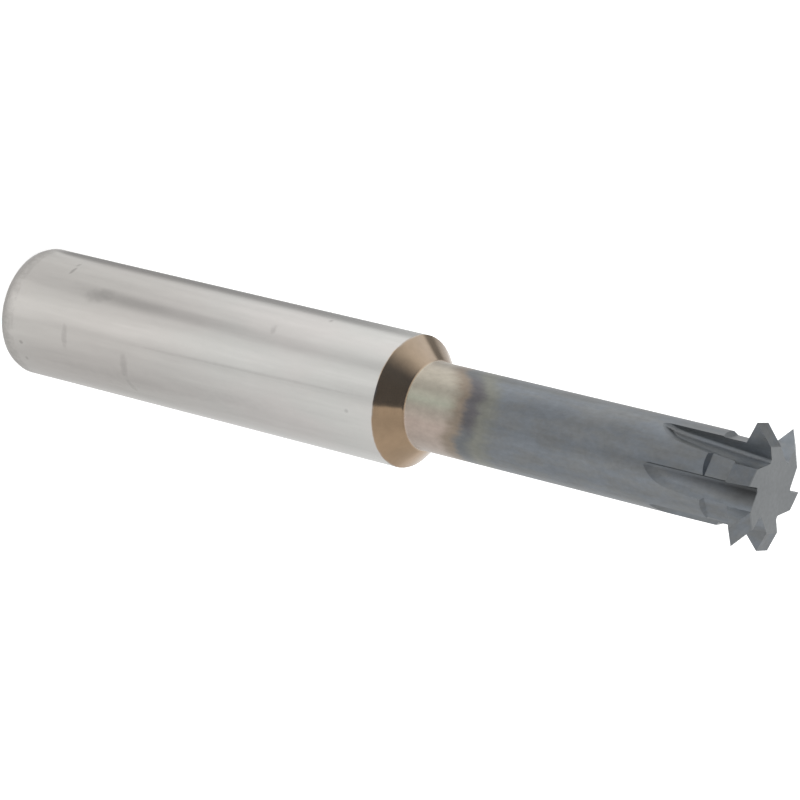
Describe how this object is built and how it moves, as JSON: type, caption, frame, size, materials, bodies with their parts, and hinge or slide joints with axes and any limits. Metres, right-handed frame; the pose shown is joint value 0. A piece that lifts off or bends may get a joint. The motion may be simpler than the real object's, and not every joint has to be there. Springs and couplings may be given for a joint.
{
  "type": "double-angle cutter",
  "caption": "Solid carbide double-angle cutter: a straight shank and a slimmer coated neck with V-shaped teeth ground round its end.",
  "frame": {"origin": "centre of the shank's flat end face", "axes": "+Z along the tool axis towards the cutting head, +X in the rake face of one tooth"},
  "size_m": [0.0096, 0.0096, 0.065],
  "materials": {
    "carbide": "ground carbide, bright on the shank, heat-tinted at the shoulder and with a blue-grey coating on neck and head"
  },
  "bodies": {
    "root": {"cutter": "carbide"}
  },
  "joints": []
}
